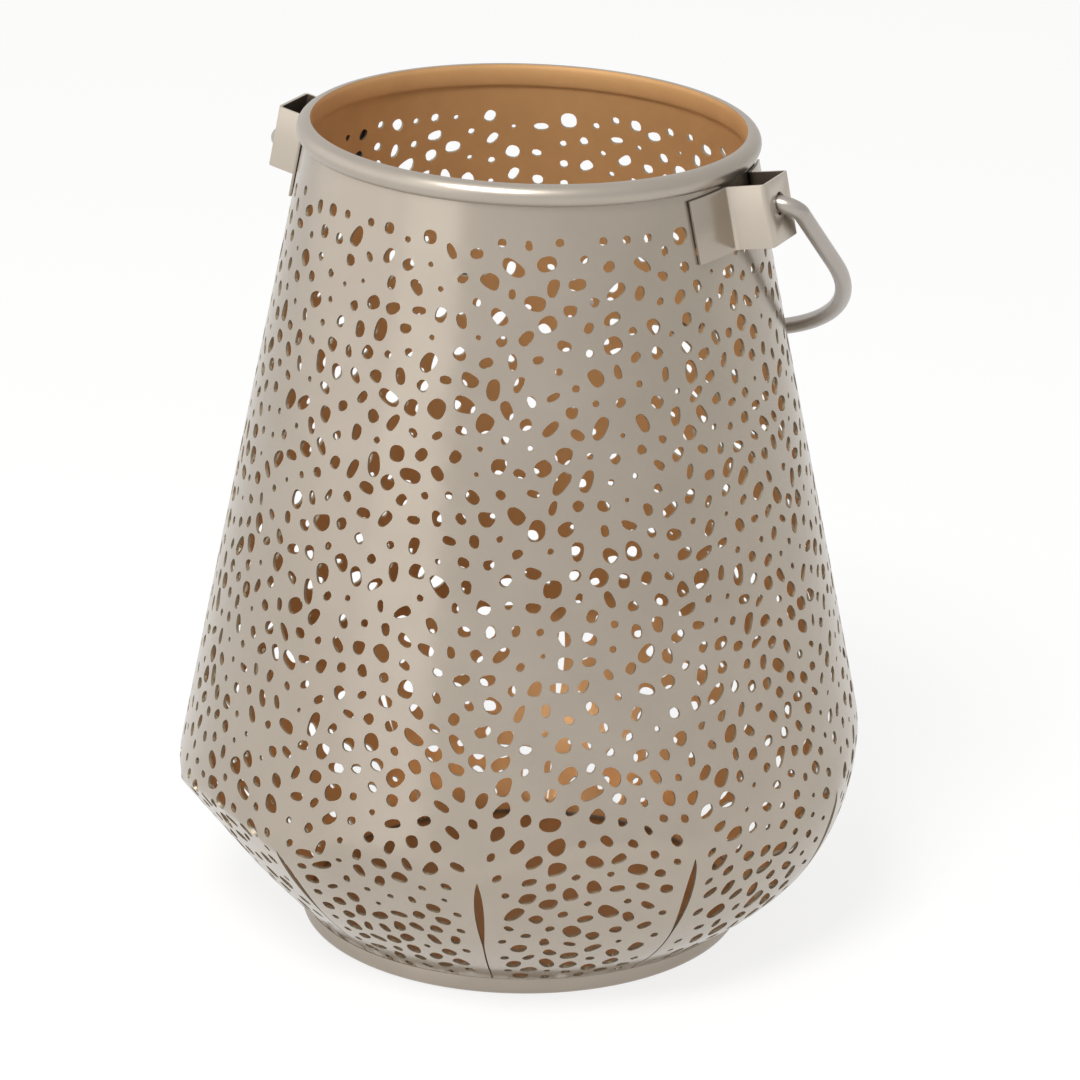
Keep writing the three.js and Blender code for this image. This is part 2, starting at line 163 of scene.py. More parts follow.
world = bpy.data.worlds.new("studio_white")
bpy.context.scene.world = world
world.use_nodes = True
world.node_tree.nodes.clear()
tree = world.node_tree
path = add_node(tree, "ShaderNodeLightPath")
place = add_node(tree, "ShaderNodeTexCoord")
rightward = add_node(tree, "ShaderNodeVectorMath",
                     {0: place.outputs["Generated"], 1: direction(DIM_SIDE, 0)},
                     operation="DOT_PRODUCT")
dimmer = add_node(tree, "ShaderNodeMapRange",
                  {"Value": rightward.outputs["Value"], "From Min": -1.0, "From Max": 1.0,
                   "To Min": 0.0, "To Max": ROOM_DIM})
lost = add_node(tree, "ShaderNodeMath", {0: path.outputs["Is Glossy Ray"], 1: dimmer.outputs["Result"]},
                operation="MULTIPLY")
plain = add_node(tree, "ShaderNodeMapRange",
                 {"Value": white_rays(tree), "To Min": WORLD_FILL, "To Max": 1.0})
strength = add_node(tree, "ShaderNodeMath", {0: plain.outputs["Result"], 1: lost.outputs[0]},
                    operation="SUBTRACT")
sky = add_node(tree, "ShaderNodeBackground",
               {"Color": linear("FFFFFF"), "Strength": strength.outputs[0]})
add_node(tree, "ShaderNodeOutputWorld", {"Surface": sky.outputs[0]})

floor_material, tree = new_tree("white_paper_sweep")
paper = add_node(tree, "ShaderNodeBsdfDiffuse", {"Color": linear("F6F5F3")})
glow = add_node(tree, "ShaderNodeEmission", {"Color": linear("FFFFFF"), "Strength": 1.0})
share = add_node(tree, "ShaderNodeMath", {0: white_rays(tree), 1: FLOOR_WHITE_SHARE}, operation="MULTIPLY")
mixed = add_node(tree, "ShaderNodeMixShader",
                 {0: share.outputs[0], 1: paper.outputs[0], 2: glow.outputs[0]})
add_node(tree, "ShaderNodeOutputMaterial", {"Surface": mixed.outputs[0]})

bpy.ops.object.select_all(action="DESELECT")
bpy.ops.mesh.primitive_plane_add(size=FLOOR_SIZE, location=(0, 0, -FLOOR_DROP * MM))
floor = bpy.context.object
floor.name = "floor"
floor.data.materials.append(floor_material)


def soft_box(name, azimuth, elevation, distance, width, height, power):
    """A lamp that faces the lantern, placed in degrees from the camera, with sizes in metres and watts."""
    back = direction(CAMERA_AZIMUTH + azimuth, elevation)
    bpy.ops.object.light_add(type="AREA", location=target + back * distance)
    lamp = bpy.context.object
    lamp.name = name
    lamp.rotation_mode = "QUATERNION"
    lamp.rotation_quaternion = (-back).to_track_quat("-Z", "Y")
    lamp.data.shape = "RECTANGLE"
    lamp.data.size, lamp.data.size_y = width, height
    lamp.data.energy = power
    lamp.visible_camera = False


soft_box("key_through_mouth", azimuth=-22, elevation=52, distance=1.6, width=0.5, height=0.5, power=22)
soft_box("strip_left", azimuth=-47, elevation=6, distance=1.5, width=0.8, height=1.8, power=2.3)
soft_box("wall_left", azimuth=-98, elevation=6, distance=1.5, width=2.0, height=1.8, power=4.0)
bpy.context.scene.view_settings.view_transform = "Standard"

# %% [markdown]
# ## Satin nickel
# The sheet, bead, pan, straps and wire are steel, plated and lacquered to a satin champagne nickel. The eye
# sees a warm grey metal with broad soft reflections, a faint cloudiness in the plating, and a fine rolled
# grain that catches the light along the sheet. It could be a plain grey metal, but the clouds and the grain
# are what keep large plain areas, such as the band under the bead, from looking like plastic.

# %% Satin nickel finishes
CLOUD_MM = 16           # size of the clouds in the plating
GRAIN_MM = 0.8          # the real grain is finer, and is drawn this coarse so that it shows
GRAIN_DEPTH_MM = 0.02
GRAIN_ROUGHNESS = 0.05  # how far the roughness strays in it, to either side


def mottled(tree, size_mm, shade, light, detail):
    """Noise of a real size, and two near colours that it mixes."""
    place = add_node(tree, "ShaderNodeTexCoord")
    spots = add_node(tree, "ShaderNodeTexNoise",
                     {"Vector": place.outputs["Object"], "Scale": 1 / (size_mm * MM), "Detail": detail})
    colour = add_node(tree, "ShaderNodeMix",
                      {"Factor": spots.outputs["Fac"], "A": linear(shade), "B": linear(light)},
                      data_type="RGBA")
    return spots.outputs["Fac"], colour.outputs["Result"]


def satin_nickel(name, light, shade, roughness):
    """Satin plated steel: two near colours in clouds, a fine grain in roughness and height."""
    material, tree = new_tree(name)
    _, colour = mottled(tree, CLOUD_MM, shade, light, detail=3)
    place = add_node(tree, "ShaderNodeTexCoord")
    grain = add_node(tree, "ShaderNodeTexNoise",
                     {"Vector": place.outputs["Object"], "Scale": 1 / (GRAIN_MM * MM), "Detail": 2.0})
    rough = add_node(tree, "ShaderNodeMapRange",
                     {"Value": grain.outputs["Fac"], "To Min": roughness - GRAIN_ROUGHNESS,
                      "To Max": roughness + GRAIN_ROUGHNESS})
    relief = add_node(tree, "ShaderNodeBump",
                      {"Height": grain.outputs["Fac"], "Strength": 0.12, "Distance": GRAIN_DEPTH_MM * MM})
    metal = add_node(tree, "ShaderNodeBsdfPrincipled",
                     {"Base Color": colour, "Metallic": 0.85,
                      "Roughness": rough.outputs["Result"], "Normal": relief.outputs["Normal"]})
    add_node(tree, "ShaderNodeOutputMaterial", {"Surface": metal.outputs[0]})
    return material


nickel_sheet = satin_nickel("champagne_nickel_sheet", "B0A699", "A49A8D", 0.22)
nickel_bead = satin_nickel("champagne_nickel_bead", "B2A99D", "A79E93", 0.34)
nickel_pan = satin_nickel("champagne_nickel_pan", "ADA295", "A0968A", 0.38)
# The strap's nickel is a lighter copy of the sheet's: painted sheen, for the bright front face of the box.
nickel_painted_sheen_strap = satin_nickel("champagne_nickel_painted_sheen_for_strap", "C2B8AA", "B8AEA1", 0.3)
nickel_wire = satin_nickel("champagne_nickel_wire", "B0A9A1", "A49D95", 0.32)
print("finishes:", [m.name for m in bpy.data.materials if m.name.startswith("champagne")])

# %% [markdown]
# ## Gold lacquer and cut edges
# The inside was sprayed with a gold-bronze lacquer, which gathers light from wall to wall and turns deep
# brown in the lower half. Through the holes it gives the lantern its warm spots. On the pan's floor it is
# a darker brown: painted shade, for the dark down at the bottom. The punched edges are bare between the
# two finishes: a dull olive grey. Inside the bracket straps the steel is painted almost black: painted
# shade, for the deep box that no light reaches.

# %% Gold lacquer, bare steel and painted shade
SPRAY_MM = 9            # size of the unevenness that the spray gun leaves
SPRAY_ROUGHNESS = 0.06  # how far the roughness strays in it: the thick spots are smoother


def gold_lacquer(name, light, shade, roughness):
    """Bronze lacquer: pigment with a metallic sparkle, a little uneven from the spray gun."""
    material, tree = new_tree(name)
    spray, colour = mottled(tree, SPRAY_MM, shade, light, detail=4)
    rough = add_node(tree, "ShaderNodeMapRange",
                     {"Value": spray, "To Min": roughness + SPRAY_ROUGHNESS,
                      "To Max": roughness - SPRAY_ROUGHNESS})
    lacquer = add_node(tree, "ShaderNodeBsdfPrincipled",
                       {"Base Color": colour, "Metallic": 0.5, "Roughness": rough.outputs["Result"]})
    add_node(tree, "ShaderNodeOutputMaterial", {"Surface": lacquer.outputs[0]})
    return material


def bare_steel_and_painted_shade(name, light, shade):
    """Dull dark steel, a little uneven: the bare punched edges, and painted shade inside the straps."""
    material, tree = new_tree(name)
    _, colour = mottled(tree, GRAIN_MM, shade, light, detail=2)
    steel = add_node(tree, "ShaderNodeBsdfPrincipled",
                     {"Base Color": colour, "Metallic": 0.7, "Roughness": 0.45})
    add_node(tree, "ShaderNodeOutputMaterial", {"Surface": steel.outputs[0]})
    return material


# Inside the straps the steel is painted almost black: painted shade, for the deep unlit box.
painted_shade_strap_inside = bare_steel_and_painted_shade("painted_shade_inside_strap", "5E5348", "4A4038")
gold_inside = gold_lacquer("gold_lacquer_inside", "D6A771", "C29765", 0.42)
# The pan's floor takes a darker brown: painted shade, for the dark at the bottom of the lantern.
painted_shade_pan_floor = gold_lacquer("brown_lacquer_painted_shade_pan_floor", "A88257", "987550", 0.46)
cut_edge = bare_steel_and_painted_shade("punched_steel_edge", "A89C86", "857A66")
print("inside finish:", gold_inside.name, "and edge:", cut_edge.name)

# %% [markdown]
# ## The shape of the body sheet
# The body is described once, as the flat sheet that it was punched from: an angle round the axis and a
# length down from the top edge. One function says where such a point lies after rolling and folding. The
# cone is straight, the bowl is an arc, and each gore is drawn in a little between its darts, as a sheet is
# that was bent and not spun. It was folded by hand, so the fold came out higher and softer on one side, and
# the mouth slopes down to that side. Nor is thin sheet ever quite true: it wavers a little.

# %% From flat sheet to lantern
BODY_HEIGHT = body_high.z
SPRING = 0.5            # the rolled sheet springs open this far at the fold
SHOULDER_RADIUS = body_high.x + SPRING
SHOULDER_HEIGHT = 42.5
TOP_RADIUS = 52.0
SHEET = 0.7             # thickness of the sheet
CLEARANCE = 0.3         # between pieces that are pressed or welded together
GORES = 10
GORE_FLATNESS = 0.6     # of a gore between its darts, where 1 is flat
PAN_RADIUS = pan_high.x
LIP_HEIGHT = pan_high.z
PAN_SHEET = 0.8
PAN_CORNER = 1.8
SKIRT_GAP = 0.2         # between the sheet and the lip of the pan
SKIRT_LIFT = 0.8        # of the sheet's end above the floor of the pan
BOWL_BULGE = 4.0        # of the bowl's arc beyond its chord
LEAN_THETA = math.radians(25)  # the side on which the fold came out highest and softest
FOLD_LEAN = 3.4         # how much higher it is there than half way round
BULGE_LEAN = 2.8        # how much more the bowl bulges there
FLATNESS_LEAN = 0.4     # share by which the gores there are rounder
MOUTH_LEAN = 1.4        # degrees by which the mouth slopes down to that side
FOLD_SOFTNESS = 3.0     # half the length of sheet that the fold is rounded over
SOFTNESS_LEAN = 1.8     # how much longer that half is on the leaning side
SKIRT_SOFTNESS = 3.0    # the same where the bowl turns down into the pan
WAVER = 0.16            # how far the sheet strays from true
WAVER_ACROSS = 24       # size of the waves round the cone, and down it
WAVER_DOWN = 80
FOLD_SEARCH = 20        # how far above the shoulder the fold is looked for
HALVINGS = 24           # in that search

half_gore = math.pi / GORES
cone_slope = (SHOULDER_RADIUS - TOP_RADIUS) / (BODY_HEIGHT - SHOULDER_HEIGHT)
cone_angle = math.atan(cone_slope)
skirt_radius = PAN_RADIUS - PAN_SHEET - SKIRT_GAP
skirt_top = LIP_HEIGHT
skirt_bottom = PAN_SHEET + SKIRT_LIFT
Gore = namedtuple("Gore", "phi shoulder_z arc_r arc_z arc_radius flatness softness")


def cone_radius(z):
    return TOP_RADIUS + (BODY_HEIGHT - z) * cone_slope


def gore_at(theta, lean_share=1):
    """The bowl's arc at an angle round the axis: it leans, as a sheet folded by hand does."""
    toward = lean_share * math.cos(theta - LEAN_THETA)
    z1, z2 = SHOULDER_HEIGHT + FOLD_LEAN * toward, skirt_top
    r1, r2 = cone_radius(z1), skirt_radius
    half = math.hypot(r2 - r1, z2 - z1) / 2
    bulge = BOWL_BULGE + BULGE_LEAN * toward
    radius = (half ** 2 + bulge ** 2) / (2 * bulge)
    offset = (radius - bulge) / (2 * half)
    arc_r = (r1 + r2) / 2 - (z1 - z2) * offset
    arc_z = (z1 + z2) / 2 + (r1 - r2) * offset
    phi = theta % (2 * half_gore) - half_gore
    return Gore(phi, z1, arc_r, arc_z, radius, GORE_FLATNESS * (1 - FLATNESS_LEAN * toward),
                FOLD_SOFTNESS + SOFTNESS_LEAN * toward)


def gore_radius(gore, z):
    """The bowl's radius: round at the base, and flatter between the darts towards the fold."""
    fade = min(1, max(0, (z - skirt_top) / (gore.shoulder_z - skirt_top)))
    flat = math.cos(half_gore) / math.cos(gore.phi)
    round_radius = gore.arc_r + math.sqrt(max(0, gore.arc_radius ** 2 - (z - gore.arc_z) ** 2))
    return round_radius * (1 - gore.flatness * fade * (1 - flat))


def fold_height(gore):
    """Where the gore leaves the cone, found by halving."""
    low, high = gore.shoulder_z, gore.shoulder_z + FOLD_SEARCH
    for _ in range(HALVINGS):
        middle = (low + high) / 2
        if gore_radius(gore, middle) < cone_radius(middle):
            low = middle
        else:
            high = middle
    return low


level_gore = gore_at(half_gore, 0)
level_fold = fold_height(level_gore)
cone_length = (BODY_HEIGHT - level_fold) / math.cos(cone_angle)
bowl_length = math.hypot(gore_radius(level_gore, level_fold) - skirt_radius, level_fold - skirt_top)
skirt_s = cone_length + bowl_length
sheet_length = skirt_s + skirt_top - skirt_bottom


def profile(gore, fold, s):
    """Radius and height of the sheet's outside, s down from the top edge."""
    if s <= cone_length:
        z = BODY_HEIGHT + (fold - BODY_HEIGHT) * s / cone_length
        return Vector((cone_radius(z), z))
    if s <= skirt_s:
        z = fold + (skirt_top - fold) * (s - cone_length) / bowl_length
        return Vector((gore_radius(gore, z), z))
    return Vector((skirt_radius, skirt_top - (s - skirt_s)))


def across(s):
    """The body's radius at a length down the sheet, at the middle of a level gore."""
    return profile(level_gore, level_fold, s).x


def leaned(point):
    """A point in mm, lower near the mouth on the leaning side and higher on the other."""
    share = min(1, max(0, (point.z - SHOULDER_HEIGHT) / (BODY_HEIGHT - SHOULDER_HEIGHT)))
    toward = point.x * math.cos(LEAN_THETA) + point.y * math.sin(LEAN_THETA)
    return point - Vector((0, 0, share * toward * math.tan(math.radians(MOUTH_LEAN))))


def sheet_point(theta, s):
    """A point of the flat sheet, in its place on the lantern, in millimetres."""
    gore = gore_at(theta)
    fold = fold_height(gore)
    place = profile(gore, fold, s)
    for bend_s, softness in ((cone_length, gore.softness), (skirt_s, SKIRT_SOFTNESS)):
        from_bend = abs(s - bend_s) / softness
        if from_bend < 1:
            ends = profile(gore, fold, s - softness) + profile(gore, fold, s + softness)
            place = place.lerp(ends / 2, (1 - from_bend) / 2)
    wave = noise.noise((math.cos(theta) * place.x / WAVER_ACROSS, math.sin(theta) * place.x / WAVER_ACROSS,
                        place.y / WAVER_DOWN))
    held = min(1, max(0, (skirt_s - s) / WAVER_DOWN), s / WAVER_ACROSS)
    radius = place.x + WAVER * held * wave
    return leaned(Vector((radius * math.cos(theta), radius * math.sin(theta), place.y)))


print("cone, bowl and whole sheet, mm:", [round(x, 1) for x in (cone_length, bowl_length, sheet_length)])

# %% [markdown]
# ## The punched pattern
# More than two thousand holes cover the sheet: pebbles, eggs and short slots from pinpricks to seven
# millimetres, with about two millimetres of sheet between them. A texture with see-through spots would be
# quick, but the holes have edges that catch the light and the other side shows through them, so they are
# real holes. Their middles are thrown like darts and then pushed apart, which spreads them as evenly as
# the real ones. Then each takes a size, gives way to its neighbours, and turns to where it has room.

# %% Spread the holes
PATTERN_SEED = 11
TOP_PLAIN = 9.5         # plain sheet below the top edge
SKIRT_PLAIN = 0.5       # and above the skirt
DART_PLAIN = 3.2        # plain sheet beside a dart
DART_WIDTH = 2.2        # of the open slit at its widest
DART_OPEN = 0.62        # share of the gore's length that the slit is open for
DART_BLADE = 0.75       # below 1 the slit is widest nearer to its upper tip
DART_SHADOW = 14        # length above a dart's tip that stays almost plain
SEAM_GAP = 0.4          # between two gores below the slit
SEAM_OPENS = 0.125      # share of the gore's length in which this gap opens
SEAM_DART = 3           # the dart, counted round from +X, where the sheet's ends meet
SPACING = 4.38          # least distance between the middles of two holes when thrown
MIDDLE_ROOM = 1.0       # least distance from a hole's middle to plain sheet
THROWS = 60000
SPREAD = 6.1            # middles nearer than this push each other apart
SPREAD_ROUNDS = 14
PUSH = 0.2              # share of the missing distance that each moves in a round
LEAST_DISTANCE = 0.1    # that a push is reckoned with
LEAST_RADIUS = 0.55     # of any hole
EDGE_RADIUS = 0.6       # of a hole that plain sheet leaves no more room
HOLE_RADII = [(LEAST_RADIUS, 0.8), (0.8, 1.12), (1.12, 1.4), (1.36, 1.65), (1.55, 1.84), (1.9, 2.25)]
HOLE_SHARES = [11, 14, 22, 24, 16, 13]  # percent
BOWL_SWELL = 1.2        # the holes of the bowl are larger than those of the cone
WEB = 1.5               # sheet left between two holes
WEB_SHARE = 0.8         # of it has to stay where a hole is stretched
SIZE_ROUNDS = 6         # in which holes give way to each other
STRETCHES = [1.0, 1.15, 1.3, 1.45, 1.6, 1.9]
STRETCH_FROM = 1.0      # holes with a smaller radius stay round
TRIES = 8               # for a turn in which a stretched hole has room
EASING = 0.85           # share of its stretch that it keeps after each
EGG = 0.16              # how much plumper one end of a hole can be than the other
LOBE = 0.08             # how far its outline can stray at its lobes
LOBES = 3

Pebble = namedtuple("Pebble", "theta s long short turn egg lobe lobe_turn")
chance = random.Random(PATTERN_SEED)
seam_theta = SEAM_DART * 2 * half_gore


def dart_half_width(s):
    """Half the opening between two gores: a blade-shaped slit, then a closed seam to the base."""
    t = (s - cone_length) / bowl_length
    if t <= 0:
        return 0
    blade = DART_WIDTH * math.sin(math.pi * (t / DART_OPEN) ** DART_BLADE) if t < DART_OPEN else 0
    return max(SEAM_GAP * min(1, t / SEAM_OPENS), blade) / 2


def plain_margin(theta, s):
    """How far a point of the sheet is from sheet that stays plain: below 0 it lies in it."""
    from_dart = abs((theta + half_gore) % (2 * half_gore) - half_gore) * across(s)
    nearing = min(1, max(0, (s - cone_length + DART_SHADOW) / DART_SHADOW))
    strip = DART_PLAIN * nearing + dart_half_width(s)
    if abs((theta - seam_theta + math.pi) % math.tau - math.pi) < half_gore:
        strip = max(strip, WEB / 2)
    beside = from_dart - strip if strip > 0 else SPREAD
    return min(s - TOP_PLAIN, skirt_s - SKIRT_PLAIN - s, beside)


def between(one, other):
    """The step from one place on the sheet to another, in mm round and down."""
    turn = (other[0] - one[0] + math.pi) % math.tau - math.pi
    return turn * across((one[1] + other[1]) / 2), other[1] - one[1]


def on_level_body(theta, s):
    """A place on the sheet in space, with no lean and no gores."""
    place = profile(level_gore, level_fold, s)
    return Vector((place.x * math.cos(theta), place.x * math.sin(theta), place.y))


def neighbours(places, reach):
    """For every place, the others within reach of it."""
    tree = kdtree.KDTree(len(places))
    for i, place in enumerate(places):
        tree.insert(on_level_body(*place), i)
    tree.balance()
    return [[j for _, j, _ in tree.find_range(on_level_body(*place), reach) if j != i]
            for i, place in enumerate(places)]


def throw_middles():
    """Places for the holes, thrown at random and kept where none is near."""
    cells = {}
    kept = []
    for _ in range(THROWS):
        s = chance.uniform(TOP_PLAIN + MIDDLE_ROOM, skirt_s - MIDDLE_ROOM)
        theta = chance.uniform(0, math.tau)
        if chance.random() > across(s) / SHOULDER_RADIUS or plain_margin(theta, s) < MIDDLE_ROOM:
            continue
        point = on_level_body(theta, s)
        x, y, z = (int(c // SPACING) for c in point)
        near = [p for i in (-1, 0, 1) for j in (-1, 0, 1) for k in (-1, 0, 1)
                for p in cells.get((x + i, y + j, z + k), ())]
        if all((p - point).length > SPACING for p in near):
            cells.setdefault((x, y, z), []).append(point)
            kept.append((theta, s))
    return kept


def spread(places):
    """Pushes the places apart a little, as long as they stay in the punched sheet."""
    for _ in range(SPREAD_ROUNDS):
        moved = []
        for place, others in zip(places, neighbours(places, SPREAD)):
            x = y = 0
            for j in others:
                dx, dy = between(place, places[j])
                distance = math.hypot(dx, dy)
                push = PUSH * (SPREAD - distance) / max(distance, LEAST_DISTANCE)
                x, y = x - push * dx, y - push * dy
            there = (place[0] + x / across(place[1]), place[1] + y)
            moved.append(there if plain_margin(*there) > MIDDLE_ROOM else place)
        places = moved
    return places


def sizes_of(places, near):
    """A radius for each hole: drawn at random, then cut down where two would come too close."""
    radii = [chance.uniform(*chance.choices(HOLE_RADII, HOLE_SHARES)[0]) *
             (BOWL_SWELL if s > cone_length else 1) for _, s in places]
    radii = [min(r, max(EDGE_RADIUS, plain_margin(*place))) for r, place in zip(radii, places)]
    for _ in range(SIZE_ROUNDS):
        for i, others in enumerate(near):
            for j in others:
                excess = radii[i] + radii[j] + WEB - math.hypot(*between(places[i], places[j]))
                if excess > 0:
                    larger = i if radii[i] > radii[j] else j
                    radii[larger] -= excess / 2
    return [max(LEAST_RADIUS, r) for r in radii]


def reach(pebble, angle):
    """How far a hole reaches from its middle towards an angle in the sheet."""
    turned = angle - pebble.turn
    return 1 / math.hypot(math.cos(turned) / pebble.long, math.sin(turned) / pebble.short)


def apart(one, other):
    """Sheet left between two holes, along the line between their middles."""
    x, y = between(one, other)
    angle = math.atan2(y, x)
    return math.hypot(x, y) - reach(one, angle) - reach(other, angle)


def shaped_pebbles(places, near, radii):
    """Stretches each hole and turns it to where it has room, or leaves it round."""
    kept = [Pebble(*place, r, r, 0, 0, 0, 0) for place, r in zip(places, radii)]
    for i, (place, radius) in enumerate(zip(places, radii)):
        margin = plain_margin(*place)
        stretch = chance.choice(STRETCHES) if radius > STRETCH_FROM else 1.0
        for _ in range(TRIES):
            long, short = radius * math.sqrt(stretch), radius / math.sqrt(stretch)
            trial = Pebble(*place, long, short, chance.uniform(0, math.pi), chance.uniform(0, EGG),
                           chance.uniform(0, LOBE), chance.uniform(0, math.tau))
            if long < margin and all(apart(trial, kept[j]) > WEB * WEB_SHARE for j in near[i]):
                kept[i] = trial
                break
            stretch = 1 + (stretch - 1) * EASING
    return kept


middles = spread(throw_middles())
near_each = neighbours(middles, 2 * SPREAD)
pebbles = shaped_pebbles(middles, near_each, sizes_of(middles, near_each))
open_area = sum(math.pi * p.long * p.short for p in pebbles)
print("holes:", len(pebbles), "open area, mm2:", round(open_area))

# %% [markdown]
# ## Cutting the sheet
# The sheet is cut flat, as the real one is. Every hole becomes a ring of corners, every dart a slit, and a
# constrained Delaunay triangulation fills the sheet between them and leaves the rings alone. Cutting two
# thousand holes with booleans would be slow and would leave ragged edges. The flat mesh is then rolled by
# moving its points, its two ends are merged, and a Solidify modifier gives it its thickness, with the gold
# lacquer on the inner skin and bare steel in the holes.

# %% Cut, roll and thicken the body sheet
FLAT_SCALE = 68.0       # mm across the flat sheet for one radian, near the mean radius
RING_STEP = 0.85        # mm between the corners of a hole
LEAST_CORNERS = 8
MOST_CORNERS = 16
ROUNDNESS = 0.85        # below 1 a hole is plumper than an ellipse
EDGE_STEPS = 220        # corners along the top edge and the skirt
SIDE_STEPS = 50         # and down each end of the sheet, as far as the fold
DART_STEPS = 22         # corners along each edge of a dart
DART_CROWDING = 1.3     # above 1 they stand closer near its tip
PAST_EDGE = 1.0         # how far a dart is drawn beyond the sheet
FILL_STEP = 2.4         # mm between the points that fill the plain sheet
FILL_ROOM = 1.1         # and from them to the nearest edge
FILL_START = 0.25       # of a step, from the sheet's end to the first of a row
INSIDE_OUTLINES = 1     # what the triangulation keeps
FLAT_ACCURACY = 1e-5    # mm, below which it takes two points for one
MERGE_BELOW = 0.004     # mm
SMOOTH_BELOW = 35       # degrees between two faces that are shaded as one


def ring_of(pebble):
    """A hole's outline, as points of angle round and length down: an ellipse, a little egg-shaped."""
    wanted = round(math.pi * (pebble.long + pebble.short) / RING_STEP)
    count = max(LEAST_CORNERS, min(MOST_CORNERS, wanted))
    ring = []
    for i in range(count):
        t = math.tau * i / count
        swell = 1 + pebble.egg * math.cos(t) / 2 + pebble.lobe * math.cos(LOBES * t + pebble.lobe_turn)
        x, y = (length * swell * math.copysign(abs(c) ** ROUNDNESS, c)
                for length, c in ((pebble.long, math.cos(t)), (pebble.short, math.sin(t))))
        cos, sin = math.cos(pebble.turn), math.sin(pebble.turn)
        ring.append((pebble.theta + (x * cos - y * sin) / across(pebble.s), pebble.s + x * sin + y * cos))
    return ring


def edge_of_dart(dart_theta, side):
    """One edge of a dart, from below its tip to the end of the sheet."""
    shares = [(i / DART_STEPS) ** DART_CROWDING for i in range(1, DART_STEPS + 1)]
    lengths = [cone_length + bowl_length * share for share in shares] + [sheet_length]
    return [(dart_theta + side * dart_half_width(s) / across(s), s) for s in lengths]


def blank_outline():
    """The sheet's own edge: along the top, down the last side, back along the bottom and up the first."""
    start, end = seam_theta, seam_theta + math.tau
    downs = [cone_length * i / SIDE_STEPS for i in range(1, SIDE_STEPS + 1)]
    steps = range(EDGE_STEPS)
    top = [(start + (end - start) * i / EDGE_STEPS, 0) for i in steps]
    last = [(end, 0)] + [(end, s) for s in downs] + edge_of_dart(end, -1)
    first = [(start, s) for s in downs] + edge_of_dart(start, 1)
    inset = last[-1][0] - first[-1][0]
    bottom = [(last[-1][0] - inset * i / EDGE_STEPS, sheet_length) for i in steps][1:]
    return top + last + bottom + first[::-1]


def dart_outline(dart_theta):
    """A dart as a closed slit that runs out past the bottom edge."""
    tip = (dart_theta, cone_length)
    left, right = edge_of_dart(dart_theta, -1), edge_of_dart(dart_theta, 1)
    past = sheet_length + PAST_EDGE
    return [tip] + right + [(right[-1][0], past), (left[-1][0], past)] + left[::-1]


def fill_points(outlines):
    """A staggered grid of points in the plain sheet, so that no face there is long and thin."""
    tree = kdtree.KDTree(sum(len(outline) for outline in outlines))
    for outline in outlines:
        for theta, s in outline:
            tree.insert((theta * FLAT_SCALE, s, 0), 0)
    tree.balance()
    points = []
    for row in range(1, int(skirt_s / FILL_STEP)):
        s = row * FILL_STEP
        count = round(math.tau * across(s) / FILL_STEP)
        for i in range(count):
            theta = seam_theta + math.tau * (i + FILL_START + row % 2 / 2) / count
            if tree.find((theta * FLAT_SCALE, s, 0))[2] > FILL_ROOM:
                points.append((theta, s))
    return points


def cut_flat_sheet():
    """Points and triangles of the punched flat sheet, as angle and length."""
    outlines = [blank_outline()]
    outlines += [dart_outline(seam_theta + 2 * half_gore * i) for i in range(1, GORES)]
    for pebble in pebbles:
        unrolled = seam_theta + (pebble.theta - seam_theta) % math.tau
        shift = unrolled - pebble.theta
        outlines.append([(theta + shift, s) for theta, s in ring_of(pebble)])
    points, faces = [], []
    for outline in outlines:
        faces.append(list(range(len(points), len(points) + len(outline))))
        points += outline
    bend = [(seam_theta + math.tau * i / EDGE_STEPS, skirt_s) for i in range(EDGE_STEPS + 1)]
    edges = [(len(points) + i, len(points) + i + 1) for i in range(EDGE_STEPS)]
    points += bend + fill_points(outlines + [bend])
    flat = [Vector((theta * FLAT_SCALE, s)) for theta, s in points]
    corners, _, cells, _, _, inside_of = delaunay_2d_cdt(flat, edges, faces, INSIDE_OUTLINES,
                                                         FLAT_ACCURACY)
    sheet = [cell[::-1] for cell, outline in zip(cells, inside_of) if list(outline) == [0]]
    return [(c.x / FLAT_SCALE, c.y) for c in corners], sheet


def tidy_up(piece, angle=SMOOTH_BELOW):
    """Merges doubles, turns the faces outwards and smooths the shading below an angle."""
    bpy.ops.object.select_all(action="DESELECT")
    piece.select_set(True)
    bpy.context.view_layer.objects.active = piece
    bpy.ops.object.mode_set(mode="EDIT")
    bpy.ops.mesh.select_all(action="SELECT")
    bpy.ops.mesh.remove_doubles(threshold=MERGE_BELOW * MM)
    bpy.ops.mesh.normals_make_consistent(inside=False)
    bpy.ops.object.mode_set(mode="OBJECT")
    bpy.ops.object.shade_smooth_by_angle(angle=math.radians(angle))


def coat(piece, *materials):
    """Gives a piece its materials, in the order in which its faces count them."""
    for material in materials:
        piece.data.materials.append(material)


def thicken(piece, thickness, inner=0, rim=0):
    """Adds thickness on the inside. The inner skin and the rim take a material so many further on."""
    wall = piece.modifiers.new("wall", "SOLIDIFY")
    wall.thickness, wall.offset = thickness * MM, -1
    wall.material_offset, wall.material_offset_rim = inner, rim
    bpy.ops.object.modifier_apply(modifier=wall.name)


